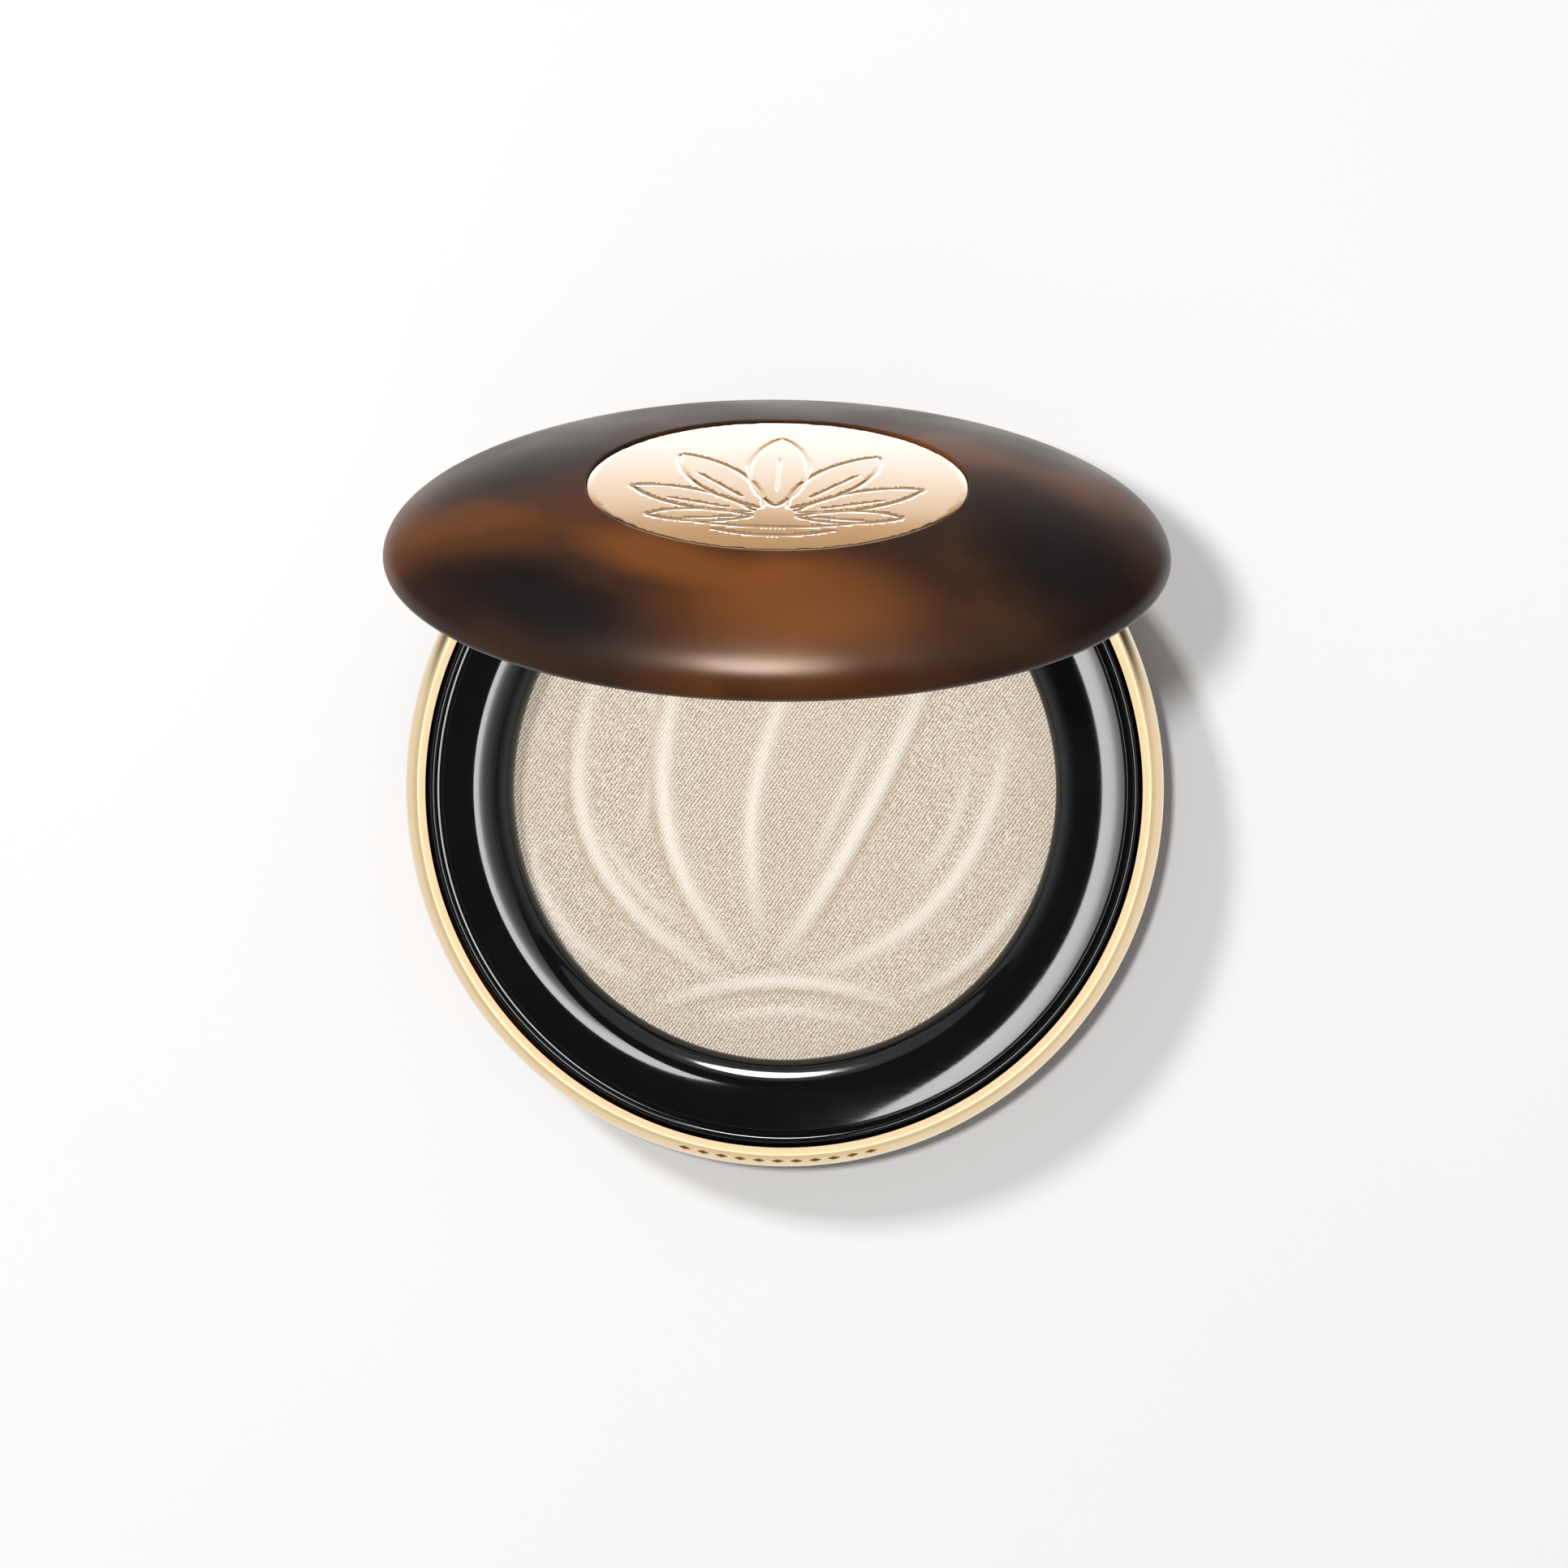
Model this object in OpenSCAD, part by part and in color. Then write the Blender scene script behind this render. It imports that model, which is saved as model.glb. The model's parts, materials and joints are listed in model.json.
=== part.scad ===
// Round powder compact: a domed lid on a rear pin hinge over a pressed powder pan.
// Millimetres. +Z is up, -Y is the front, the hinge is at the back (+Y).
// The origin is the middle of the flat underside. The lid is drawn open.

/* [Compact] */
// Outside diameter of the compact
body_d = 78; // [76:0.5:80]
// How far the lid stands open, from closed
lid_open = 71; // [0:1:96]
// Height of the lid's widest circle above the table when closed
lid_plane_z = 11; // [10.9:0.05:11.1]

/* [Base] */
// Diameter of the flat foot that the compact stands on
foot_d = 55; // [52:1:57]
// Thickness of the moulded base shell
shell_t = 1.6; // [1.4:0.1:1.6]
// Height at which the metal band starts
band_z = 5; // [4.9:0.05:5.1]
// Height of the band's widest circle
band_mid_z = 6.3; // [6.2:0.1:6.5]
// Height of the band's upper edge
band_top_z = 9.6; // [9.4:0.05:9.6]
// Width of the band seen from above
band_w = 2.2; // [2.1:0.05:2.3]
// Height of the inner frame's crest
crest_z = 10; // [9.9:0.05:10]

/* [Powder] */
// Diameter of powder that shows inside the frame
powder_view_d = 55.8; // [55:0.1:56]
// Outside diameter of the metal powder pan
pan_d = 58; // [57.5:0.5:58]
// Thickness of the pan's sheet metal
pan_t = 0.4; // [0.3:0.05:0.5]
// Height of the pan's rim above the table
pan_top_z = 6.9; // [6.8:0.05:6.9]
// How far the pressed powder crowns above the pan's rim
powder_crown = 0.35; // [0.1:0.05:0.5]

/* [Lid] */
// Rise of the lid's dome above its widest circle
dome_rise = 8.45; // [8.2:0.05:8.6]
// Depth of the rounded lip under the lid's widest circle
lip_drop = 1.05; // [0.9:0.05:1.05]
// Diameter of the metal medallion in the lid
medallion_d = 37.74; // [34:0.1:39]
// Thickness of the medallion at its edge
medallion_t = 0.75; // [0.6:0.05:0.9]
// Rise of the medallion's face from its edge to its middle
medallion_crown = 0.25; // [0.1:0.05:0.3]
// Diameter of the mirror
mirror_d = 61; // [58:0.5:61]
// Thickness of the mirror glass
mirror_t = 1.5; // [1.2:0.1:1.5]

/* [Hinge] */
// Distance of the hinge axis behind the middle
hinge_y = 36.2; // [36.1:0.05:36.3]
// Height of the hinge axis above the table
hinge_z = 10.35; // [10.3:0.05:10.4]
// Radius of the hinge knuckles
knuckle_r = 1.6; // [1.5:0.05:1.6]
// Half length of the lid's middle knuckle
knuckle_x = 6; // [5:0.5:6.5]
// Distance from the middle to the outer end of a base ear
ear_x = 10.8; // [10.5:0.1:10.8]
// Radius of the hinge pin
pin_r = 0.6; // [0.5:0.05:0.6]

/* [Closure] */
// Diameter of the closing magnets
magnet_d = 3; // [2.5:0.1:3]
// Angle of each magnet from the front
magnet_angle = 9; // [7:1:20]

/* [Hidden] */
$fn = 96;

arc_steps = 24;        // straight steps in a quarter of a profile curve
slip = 0.05;           // gap around a part that drops into its seat
tape_t = 0.1;          // double-sided tape
body_r = body_d / 2;

// Base shell
label_d = 42;
label_t = 0.12;
label_recess = 0.2;
shell_r = body_r - 0.6;           // where the shell meets the band
spigot_w = 1.3;                   // wall that locates the band and the frame
spigot_h = 1.6;
spigot_r = body_r - band_w - 0.2;

// Ballast and pan, stacked from the floor of the shell
ballast_d = 52;
ballast_t = 0.8;
pan_z = shell_t + ballast_t + tape_t;
pan_bend_r = 0.8;

// Inner frame, from the band inwards
frame_r = body_r - band_w - 0.2;
frame_low_z = band_z + spigot_h + slip;
bead_r = 0.42;
bead_mid_r = frame_r - bead_r - 0.13;
bead_mid_z = crest_z - 0.85;
groove_r = bead_mid_r - bead_r - 0.45;
groove_z = crest_z - 0.88;
facet_r = groove_r - 0.15;
facet_z = crest_z - 0.13;
facet_w = 2.05;
land_w = 0.7;
land_r = facet_r - facet_w;
slope_top_r = land_r - land_w;
lip_r = powder_view_d / 2;
lip_z = pan_top_z + 0.1;
lip_edge_t = 0.45;
well_r = pan_d / 2 + 0.2;
well_t = 0.9;
well_low_z = 2;
skirt_t = 1;
skirt_r = spigot_r - spigot_w - slip;
skirt_low_z = band_z;
roof_t = 1.5;                     // thickness under the frame's crest

// Lid
rim_r = body_r - 1.7;             // where the rounded lip ends
inner_rim_r = body_r - 2.4;
lid_low_z = lid_plane_z - lip_drop;
medallion_z = lid_plane_z + 7.2 - medallion_t;
recess_z = medallion_z - tape_t;
recess_floor_t = 1.25;
inner_dome_a = body_r - 2;
inner_dome_b = dome_rise - 1.85;
inner_dome_z = lid_plane_z - 0.4;
lid_frame_r = inner_rim_r - 0.2;
lid_frame_z = crest_z + 0.3;
mirror_z = lid_frame_z + 0.45;
mirror_seat_z = mirror_z + mirror_t + tape_t;
seat_plate_t = 0.8;
lid_frame_wall = 1.2;             // height of the frame's outer wall

// Hinge: notches are cut around the axis, and open to the back
knuckle_gap = 0.25;
sweep_r = knuckle_r + 0.35;       // space that a turning knuckle needs
notch_x = ear_x + 0.3;
lid_notch_y = hinge_y - knuckle_r - 0.3;
lid_notch_top = hinge_z + 2.15;
band_notch_z = 7.4;
pin_x = ear_x - 0.2;
ear_fit = 0.01;
sleeve_r = 0.95;
sleeve_run = 0.04;                // radial running clearance on the pin
sleeve_gap = 0.6;
far = 100;                        // reaches past everything

// Magnets
magnet_ring_r = 32.6;
magnet_t = 1.5;
magnet_cover = 0.7;
boss_wall = 0.6;

// Points of an elliptical arc, with the angle counted from the top towards the outside
function arc(mid_r, mid_z, a, b, from, to, steps = arc_steps) =
    [for (i = [0:steps]) let (t = from + (to - from) * i / steps)
        [mid_r + a * sin(t), mid_z + b * cos(t)]];

// Moves the lid's parts from closed to the drawn opening
module lid_place() {
    translate([0, hinge_y, hinge_z]) rotate([-lid_open, 0, 0])
        translate([0, -hinge_y, -hinge_z]) children();
}

// A cylinder on the hinge axis, from x0 to x1
module axle(radius, x0, x1) {
    translate([x0, hinge_y, hinge_z]) rotate([0, 90, 0]) cylinder(r = radius, h = x1 - x0);
}

// A box given by its lowest and highest corner
module block(low, high) {
    translate(low) cube(high - low);
}

// Copies a part to the two magnet places at the front
module at_magnets() {
    for (side = [-1, 1]) rotate([0, 0, side * magnet_angle])
        translate([0, -magnet_ring_r, 0]) children();
}

module disc(radius, low, high) {
    translate([0, 0, low]) cylinder(r = radius, h = high - low);
}

module base_shell() {
    foot_r = foot_d / 2;
    inside_r = spigot_r - spigot_w;
    color([0.22, 0.10, 0.05]) rotate_extrude($fn = 180) polygon(concat(
        [[0, label_recess], [label_d / 2, label_recess], [label_d / 2, 0]],
        arc(foot_r, band_z, shell_r - foot_r, -band_z, 0, 90),
        [[spigot_r, band_z], [spigot_r, band_z + spigot_h], [inside_r, band_z + spigot_h]],
        arc(foot_r - 1, band_z, inside_r - foot_r + 1, shell_t - band_z, 90, 0),
        [[0, shell_t]]));
}

module base_label() {
    color([0.85, 0.84, 0.80]) disc(label_d / 2 - 0.5, label_recess - label_t, label_recess);
}

module ballast_plate() {
    color([0.55, 0.56, 0.58]) disc(ballast_d / 2, shell_t, shell_t + ballast_t);
}

module pan_tape() {
    color([0.9, 0.9, 0.85]) disc(ballast_d / 2 - 2, shell_t + ballast_t, pan_z);
}

module powder_pan() {
    r = pan_d / 2;
    color([0.8, 0.8, 0.82]) rotate_extrude($fn = 180) polygon(concat(
        [[0, pan_z]],
        arc(r - pan_bend_r, pan_z + pan_bend_r, pan_bend_r, pan_bend_r, 180, 90, 6),
        [[r, pan_top_z], [r - pan_t, pan_top_z], [r - pan_t, pan_z + pan_t], [0, pan_z + pan_t]]));
}

module powder_cake() {
    r = pan_d / 2 - pan_t;
    color([0.87, 0.79, 0.69]) rotate_extrude($fn = 180) polygon(concat(
        [[0, pan_z + pan_t], [r, pan_z + pan_t], [r, pan_top_z], [lip_r, pan_top_z]],
        [for (i = [1:12]) let (x = lip_r * (1 - i / 12))
            [x, pan_top_z + powder_crown * (1 - pow(x / lip_r, 2))]]));
}

// Section of the frame: slope, land, facet, groove and bead on top, walls below
module frame_section() {
    roof_z = crest_z - roof_t;
    slope_low_z = lip_z + lip_edge_t;
    polygon(concat(
        [[lip_r, lip_z], [lip_r, slope_low_z]],
        arc(slope_top_r, slope_low_z, slope_top_r - lip_r, crest_z - slope_low_z, -88, 0),
        [[land_r, crest_z], [facet_r, facet_z], [groove_r, groove_z]],
        arc(bead_mid_r, bead_mid_z, bead_r, bead_r, -90, 90, 12),
        [[frame_r, bead_mid_z - 0.1], [frame_r, frame_low_z], [skirt_r, frame_low_z],
         [skirt_r, skirt_low_z], [skirt_r - skirt_t, skirt_low_z],
         [skirt_r - skirt_t, roof_z - 0.2], [slope_top_r, roof_z],
         [well_r + well_t, lip_z + 0.2], [well_r + well_t, well_low_z],
         [well_r, well_low_z], [well_r, lip_z]]));
}

module base_frame() {
    color([0.07, 0.08, 0.09]) difference() {
        union() {
            rotate_extrude($fn = 180) frame_section();
            at_magnets() disc(magnet_d / 2 + boss_wall, crest_z - magnet_cover - magnet_t, crest_z - 0.1);
            for (side = [-1, 1]) {
                x0 = side > 0 ? knuckle_x + knuckle_gap : -ear_x;
                x1 = side > 0 ? ear_x : -knuckle_x - knuckle_gap;
                axle(knuckle_r, x0, x1);
                block([x0, hinge_y - knuckle_r, band_notch_z + 0.2], [x1, hinge_y + knuckle_r, hinge_z]);
            }
        }
        at_magnets() disc(magnet_d / 2 + slip, 0, crest_z - magnet_cover);
        axle(sweep_r, -knuckle_x - knuckle_gap, knuckle_x + knuckle_gap);
        axle(pin_r + ear_fit, -far / 2, far / 2);
    }
}

module gold_band() {
    inner_r = body_r - band_w;
    color([0.85, 0.70, 0.47]) difference() {
        rotate_extrude($fn = 180) polygon(concat(
            [[inner_r, band_z], [shell_r, band_z]],
            arc(shell_r, band_mid_z, body_r - shell_r, band_z - band_mid_z, 0, 90, 8),
            arc(inner_r + 0.2, band_mid_z, body_r - inner_r - 0.2, band_top_z - band_mid_z, 90, 0),
            [[inner_r, band_top_z]]));
        block([-notch_x, 0, band_notch_z], [notch_x, far, far]);
    }
}

module base_magnets() {
    top = crest_z - magnet_cover - slip;
    color([0.7, 0.7, 0.72]) at_magnets() disc(magnet_d / 2, top - magnet_t, top);
}

module hinge_pin() {
    color([0.75, 0.75, 0.77]) axle(pin_r, -pin_x, pin_x);
}

module lid_shell() {
    recess_r = medallion_d / 2 + slip;
    recess_angle = asin(recess_r / body_r);
    ceiling_z = recess_z - recess_floor_t;
    ceiling_angle = acos((ceiling_z - inner_dome_z) / inner_dome_b);
    rim_angle = asin(inner_rim_r / inner_dome_a);
    color([0.30, 0.15, 0.07]) lid_place() difference() {
        rotate_extrude($fn = 180) polygon(concat(
            [[0, ceiling_z], [0, recess_z], [recess_r, recess_z]],
            arc(0, lid_plane_z, body_r, dome_rise, recess_angle, 90, 2 * arc_steps),
            arc(rim_r, lid_plane_z, body_r - rim_r, lip_drop, 100, 180, 10),
            [[inner_rim_r, lid_low_z + 0.2]],
            arc(0, inner_dome_z, inner_dome_a, inner_dome_b, rim_angle, ceiling_angle)));
        block([-notch_x, lid_notch_y, 0], [notch_x, far, lid_notch_top]);
    }
}

module medallion() {
    r = medallion_d / 2;
    bevel = 0.12;
    top = medallion_z + medallion_t;
    color([0.88, 0.72, 0.55]) lid_place() rotate_extrude($fn = 180) polygon(concat(
        [[0, medallion_z], [r, medallion_z], [r, top - bevel], [r - bevel, top]],
        [for (i = [1:12]) let (x = (r - bevel) * (1 - i / 12))
            [x, top + medallion_crown * (1 - pow(x / (r - bevel), 2))]]));
}

module medallion_tape() {
    color([0.9, 0.9, 0.85]) lid_place() disc(medallion_d / 2 - 1, recess_z, medallion_z);
}

module lid_frame() {
    seat_r = mirror_d / 2 + slip;
    chamfer = 0.4;
    plate_top = mirror_seat_z + seat_plate_t;
    color([0.07, 0.08, 0.09]) lid_place() difference() {
        union() {
            difference() {
                rotate_extrude($fn = 180) polygon(
                    [[0, mirror_seat_z], [seat_r, mirror_seat_z], [seat_r, lid_frame_z + chamfer],
                     [seat_r + chamfer, lid_frame_z], [lid_frame_r - chamfer, lid_frame_z],
                     [lid_frame_r, lid_frame_z + chamfer], [lid_frame_r, lid_frame_z + lid_frame_wall],
                     [lid_frame_r - 2.6, plate_top], [0, plate_top]]);
                for (side = [-1, 1])
                    block([side > 0 ? knuckle_x : -notch_x, lid_notch_y, 0],
                          [side > 0 ? notch_x : -knuckle_x, far, far]);
            }
            axle(knuckle_r, -knuckle_x, knuckle_x);
            block([-knuckle_x, lid_notch_y - 1, lid_frame_z + chamfer],
                  [knuckle_x, hinge_y, hinge_z + knuckle_r]);
        }
        at_magnets() disc(magnet_d / 2 + slip, lid_frame_z + magnet_cover, far);
        axle(sleeve_r + ear_fit, -far / 2, far / 2);
    }
}

module mirror() {
    bevel = 0.3;
    r = mirror_d / 2;
    color([0.80, 0.84, 0.87]) lid_place() rotate_extrude($fn = 180) polygon(
        [[0, mirror_z], [r - bevel, mirror_z], [r, mirror_z + bevel],
         [r, mirror_z + mirror_t], [0, mirror_z + mirror_t]]);
}

module mirror_tape() {
    color([0.9, 0.9, 0.85]) lid_place() disc(mirror_d / 2 - 3, mirror_z + mirror_t, mirror_seat_z);
}

module lid_magnets() {
    low = lid_frame_z + magnet_cover + slip;
    color([0.7, 0.7, 0.72]) lid_place() at_magnets() disc(magnet_d / 2, low, low + magnet_t);
}

module hinge_sleeves() {
    color([0.9, 0.9, 0.88]) lid_place() for (side = [-1, 1]) difference() {
        axle(sleeve_r, side > 0 ? sleeve_gap : -knuckle_x, side > 0 ? knuckle_x : -sleeve_gap);
        axle(pin_r + sleeve_run, -far / 2, far / 2);
    }
}

base_shell();
base_label();
ballast_plate();
pan_tape();
powder_pan();
powder_cake();
base_frame();
gold_band();
base_magnets();
hinge_pin();
lid_shell();
medallion();
medallion_tape();
lid_frame();
mirror();
mirror_tape();
lid_magnets();
hinge_sleeves();
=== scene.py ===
"""Looks of the round powder compact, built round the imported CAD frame. All lengths are in metres."""
import json
import math

import bmesh
import bpy
import numpy as np
from mathutils import Matrix, Vector
from mathutils.geometry import delaunay_2d_cdt

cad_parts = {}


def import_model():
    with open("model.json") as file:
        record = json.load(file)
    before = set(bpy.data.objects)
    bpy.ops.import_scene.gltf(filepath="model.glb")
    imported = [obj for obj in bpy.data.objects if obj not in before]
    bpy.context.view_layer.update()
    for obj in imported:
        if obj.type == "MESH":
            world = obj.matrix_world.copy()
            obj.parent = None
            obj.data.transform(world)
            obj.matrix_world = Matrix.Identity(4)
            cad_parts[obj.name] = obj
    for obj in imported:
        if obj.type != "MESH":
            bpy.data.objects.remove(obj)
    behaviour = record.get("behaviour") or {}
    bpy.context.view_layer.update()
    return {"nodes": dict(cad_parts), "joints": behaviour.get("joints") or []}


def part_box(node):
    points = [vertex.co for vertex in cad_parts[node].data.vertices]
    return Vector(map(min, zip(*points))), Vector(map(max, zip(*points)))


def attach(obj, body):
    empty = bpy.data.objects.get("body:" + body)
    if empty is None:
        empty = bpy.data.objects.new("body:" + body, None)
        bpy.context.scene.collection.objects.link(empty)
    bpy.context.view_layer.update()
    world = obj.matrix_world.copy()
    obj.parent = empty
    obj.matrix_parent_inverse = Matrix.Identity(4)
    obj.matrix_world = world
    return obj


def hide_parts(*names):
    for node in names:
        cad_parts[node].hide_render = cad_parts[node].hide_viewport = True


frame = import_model()
MM = 0.001

# ---------------------------------------------------------------- places and sizes

HINGE = Vector(frame["joints"][0]["pos_m"])
LID_ANGLE = -math.radians(frame["joints"][0]["range_deg"][0])  # how far the lid stands open
BODY_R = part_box("gold_band")[1].x
BAND_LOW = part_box("gold_band")[0].z
BAND_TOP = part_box("gold_band")[1].z
BAND_MID = 6.3 * MM  # height of the band's widest circle
BAND_R = BODY_R - 2.2 * MM  # inside of the band
SHELL_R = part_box("base_shell")[1].x
FOOT_R = 27.5 * MM
LABEL_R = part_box("base_label")[1].x
LID_PLANE = 11 * MM  # height of the lid's widest circle when closed
CREST = 10 * MM  # height of the inner frame's crest

SHOULDER_R = BAND_R + 0.2 * MM  # middle of the band's rounded shoulder

# Inner frame of the base, from the band inwards
FRAME_R = BAND_R - 0.2 * MM
BEAD = 0.42 * MM
BEAD_R = FRAME_R - BEAD - 0.13 * MM
GROOVE_R = BEAD_R - BEAD - 0.45 * MM
FACET_R = GROOVE_R - 0.15 * MM
LAND_R = FACET_R - 2.05 * MM
SLOPE_R = LAND_R - 0.7 * MM
LIP_R = 27.9 * MM
LIP_Z = 7.0 * MM
WELL_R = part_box("powder_pan")[1].x + 0.2 * MM

# Hinge and the notches round it
EAR_IN, EAR_OUT = 6.25 * MM, 10.8 * MM
KNUCKLE_R, KNUCKLE_X = 1.6 * MM, 6 * MM
KNUCKLE_EDGE = 0.25 * MM
SKIN = 0.02 * MM  # how far a web stays inside its knuckle
WEB_INSET = 0.05 * MM
SWEEP_R = KNUCKLE_R + 0.35 * MM
NOTCH_X = EAR_OUT + 0.3 * MM
NOTCH_Y = HINGE.y - KNUCKLE_R - 0.3 * MM
LID_NOTCH_TOP = HINGE.z + 2.15 * MM
BAND_NOTCH = 7.4 * MM
FAR = 60 * MM

# Lid, in its own frame: the middle of its widest circle, +z through the medallion
DOME = 8.45 * MM
LIP_DROP = 1.05 * MM
MEDALLION_R = 18.87 * MM
MEDALLION_EDGE = 7.2 * MM
MEDALLION_T = 0.75 * MM
MIRROR_R = 30.5 * MM
MIRROR_Z = -0.25 * MM
MIRROR_T = 1.5 * MM

TURN = 320  # faces round a lathed piece
ROD_TURN = 96  # faces round a rod of the hinge
SMOOTH_ANGLE = 32  # degrees; a steeper edge stays sharp
STRAIGHT = 162  # degrees; a flatter corner isn't rounded
MOST_CUT = 0.42  # largest share of a side that a rounded corner takes
TINY = 1e-9

lid_to_world = (
    Matrix.Translation(HINGE)
    @ Matrix.Rotation(-LID_ANGLE, 4, "X")
    @ Matrix.Translation(-HINGE)
    @ Matrix.Translation((0, 0, LID_PLANE))
)


# ---------------------------------------------------------------- mesh helpers


def arc(mid_r, mid_z, a, b, start, end, steps=24):
    """Points of an elliptical arc. Degrees are counted from the top towards the outside."""
    turns = np.radians(np.linspace(start, end, steps + 1))
    return [(mid_r + a * math.sin(t), mid_z + b * math.cos(t)) for t in turns]


def soften(points, radius, closed=False, steps=4):
    """Rounds every sharp corner of an outline by a small curve."""
    made = []
    count = len(points)
    for i, point in enumerate(points):
        if not closed and i in (0, count - 1):
            made.append(point)
            continue
        p = Vector(point)
        before = Vector(points[i - 1]) - p
        after = Vector(points[(i + 1) % count]) - p
        if before.length < TINY or after.length < TINY:
            continue
        if before.angle(after) > math.radians(STRAIGHT):
            made.append(point)
            continue
        cut = min(radius, MOST_CUT * before.length, MOST_CUT * after.length)
        a = p + before.normalized() * cut
        b = p + after.normalized() * cut
        for k in range(steps + 1):
            t = k / steps
            made.append(tuple(a * (1 - t) ** 2 + p * 2 * t * (1 - t) + b * t**2))
    return made


def ring_of(mesh, radius, z, turn):
    """A ring of new vertices about Z."""
    angles = [2 * math.pi * i / turn for i in range(turn)]
    return [mesh.verts.new((radius * math.cos(t), radius * math.sin(t), z)) for t in angles]


def lathe(name, section, turn=TURN):
    """Turns an outline of (r, z) about Z. It starts and ends on the axis, or else closes on itself."""
    solid = section[0][0] < TINY
    mesh = bmesh.new()
    rings = []
    for r, z in section:
        if r < TINY:
            rings.append([mesh.verts.new((0, 0, z))])
        else:
            rings.append(ring_of(mesh, r, z, turn))
    pairs = list(zip(rings, rings[1:])) + ([] if solid else [(rings[-1], rings[0])])
    for low, high in pairs:
        for i in range(turn):
            j = (i + 1) % turn
            corners = [low[i % len(low)], low[j % len(low)], high[j % len(high)], high[i % len(high)]]
            unique = list(dict.fromkeys(corners))
            if len(unique) > 2:
                mesh.faces.new(unique)
    return finish_mesh(name, mesh)


def finish_mesh(name, mesh):
    """Turns a bmesh into an object with outward faces, smooth apart from its steep edges."""
    bmesh.ops.recalc_face_normals(mesh, faces=mesh.faces)
    data = bpy.data.meshes.new(name)
    mesh.to_mesh(data)
    mesh.free()
    piece = bpy.data.objects.new(name, data)
    bpy.context.scene.collection.objects.link(piece)
    shade(piece)
    return piece


def shade(piece, angle=SMOOTH_ANGLE):
    """Smooth shading that leaves edges steeper than the angle sharp."""
    piece.data.shade_smooth()
    piece.data.set_sharp_from_angle(angle=math.radians(angle))


def block(low, high):
    """A box given by its corners."""
    mesh = bmesh.new()
    bmesh.ops.create_cube(mesh, size=1)
    low, high = Vector(low), Vector(high)
    size = high - low
    for v in mesh.verts:
        v.co = low + (v.co + Vector((0.5, 0.5, 0.5))) * size
    return finish_mesh("cutter", mesh)


def axle(radius, x0, x1, centre, edge=0.0):
    """A rod along X round the given centre, with its ends rounded if an edge is given."""
    section = [(0, x0), (radius, x0), (radius, x1), (0, x1)]
    rod = lathe("cutter", soften(section, edge) if edge else section, ROD_TURN)
    to_x = Matrix.Rotation(math.radians(90), 4, "Y")
    rod.data.transform(Matrix.Translation(Vector((0, centre[1], centre[2]))) @ to_x)
    return rod


def combine(piece, other, operation):
    """Cuts or joins another solid, which is used up."""
    modifier = piece.modifiers.new("combine", "BOOLEAN")
    modifier.operation = operation
    modifier.object = other
    modifier.solver = "EXACT"
    bpy.context.view_layer.update()
    graph = bpy.context.evaluated_depsgraph_get()
    result = bpy.data.meshes.new_from_object(piece.evaluated_get(graph))
    piece.modifiers.clear()
    piece.data = result
    bpy.data.objects.remove(other)
    shade(piece)
    return piece


def place(piece, body, *nodes, slot, look, at=None):
    """Puts a new piece in the place of CAD nodes, with its body and material. The slot is not used."""
    if at is not None:
        piece.data.transform(at)
    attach(piece, body)
    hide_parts(*nodes)
    if not piece.data.materials:
        piece.data.materials.append(look)
    return piece


# ---------------------------------------------------------------- material helpers


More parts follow.
